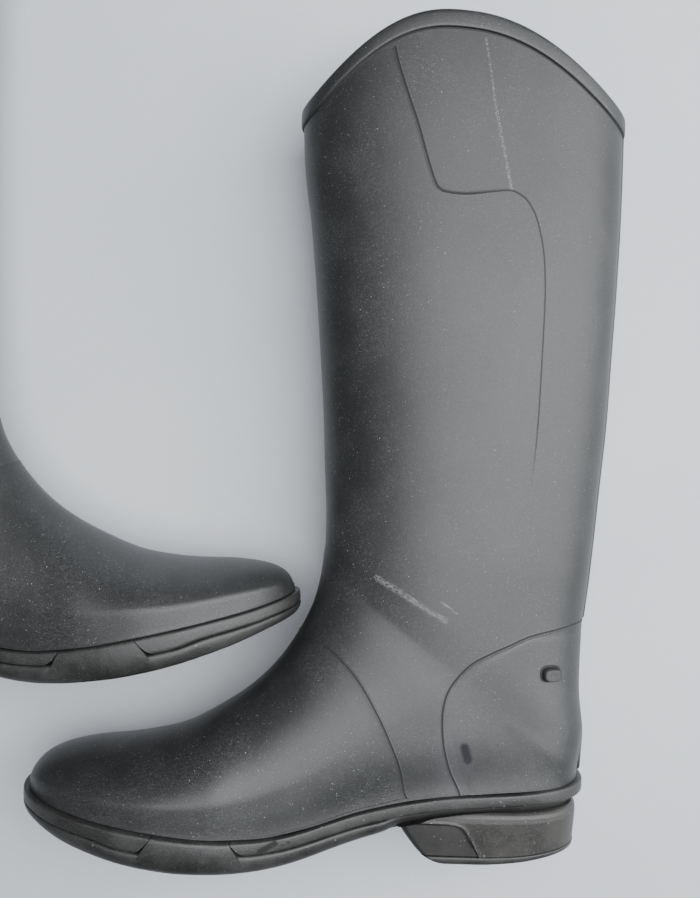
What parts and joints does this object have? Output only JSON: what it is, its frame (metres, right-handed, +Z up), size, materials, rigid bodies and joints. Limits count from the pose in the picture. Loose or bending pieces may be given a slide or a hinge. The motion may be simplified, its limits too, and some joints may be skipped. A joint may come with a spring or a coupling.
{
  "type": "riding boot",
  "caption": "Pair of tall black rubber riding boots lying on their inner sides, with peaked tops, moulded heel counters and low block heels.",
  "frame": {"origin": "on the surface the boots lie on, at the middle of the pair's bounding box", "axes": "+Z up from the surface the boots lie on, which is also towards the boots' outer sides; the left boot's leg runs along +Y and its toe points to -X; the right boot lies beside it, toe towards +X, turned 8 degrees"},
  "size_m": [0.5139, 0.4951, 0.0999],
  "materials": {
    "upper_rubber": "satin black moulded rubber with a fine grain and dusty wear",
    "binding_rubber": "satin black moulded rim",
    "sole_rubber": "semi-matt black with scuffed edges",
    "tread_rubber": "matt black, dusty, with a moulded tread",
    "lining_textile": "dark grey knitted lining bonded to the rubber",
    "footbed_textile": "grey needle felt over foam",
    "fibre_board": "pressed fibre board",
    "shank_steel": "plain sprung steel strip"
  },
  "bodies": {
    "left_lower": {"left_ankle_flex": "upper_rubber", "left_foot_shell": "upper_rubber", "left_foot_lining": "lining_textile", "left_vamp_panel": "upper_rubber", "left_heel_counter": "upper_rubber", "left_spur_rest": "upper_rubber", "left_insole_board": "fibre_board", "left_midsole": "sole_rubber", "left_shank": "shank_steel", "left_outsole": "sole_rubber", "left_welt_front": "sole_rubber", "left_side_plate": "sole_rubber", "left_welt_rear": "sole_rubber", "left_heel_block": "sole_rubber", "left_heel_top_piece": "tread_rubber"},
    "left_leg": {"left_shaft": "upper_rubber", "left_top_binding": "binding_rubber", "left_leg_lining": "lining_textile", "left_back_stay": "upper_rubber", "left_calf_piping": "upper_rubber"},
    "left_insole": {"left_footbed": "footbed_textile"},
    "right_lower": {"right_ankle_flex": "upper_rubber", "right_foot_shell": "upper_rubber", "right_foot_lining": "lining_textile", "right_vamp_panel": "upper_rubber", "right_heel_counter": "upper_rubber", "right_spur_rest": "upper_rubber", "right_insole_board": "fibre_board", "right_midsole": "sole_rubber", "right_shank": "shank_steel", "right_outsole": "sole_rubber", "right_welt_front": "sole_rubber", "right_side_plate": "sole_rubber", "right_welt_rear": "sole_rubber", "right_heel_block": "sole_rubber", "right_heel_top_piece": "tread_rubber"},
    "right_leg": {"right_shaft": "upper_rubber", "right_top_binding": "binding_rubber", "right_leg_lining": "lining_textile", "right_back_stay": "upper_rubber", "right_calf_piping": "upper_rubber"},
    "right_insole": {"right_footbed": "footbed_textile"}
  },
  "joints": [
    {"name": "left_ankle", "type": "hinge", "parent": "left_lower", "child": "left_leg", "pos_m": [0.1772, -0.0785, 0.05], "axis": [0, 0, 1], "range_deg": [-12, 15], "stiffness_Nm_per_rad": 20, "deforming": ["left_ankle_flex"]},
    {"name": "left_footbed_lift", "type": "hinge", "parent": "left_lower", "child": "left_insole", "pos_m": [-0.0288, -0.21589, 0.05], "axis": [0, 0, 1], "range_deg": [0, 5]},
    {"name": "right_boot_lift", "type": "slide", "parent": "left_lower", "child": "right_lower", "axis": [0, 0, 1], "range_m": [0, 0.15]},
    {"name": "right_ankle", "type": "hinge", "parent": "right_lower", "child": "right_leg", "pos_m": [-0.14932, -0.00785, 0.05], "axis": [0, 0, -1], "range_deg": [-12, 15], "stiffness_Nm_per_rad": 20, "deforming": ["right_ankle_flex"]},
    {"name": "right_footbed_lift", "type": "hinge", "parent": "right_lower", "child": "right_insole", "pos_m": [0.07379, -0.11524, 0.05], "axis": [0, 0, -1], "range_deg": [0, 5]}
  ]
}
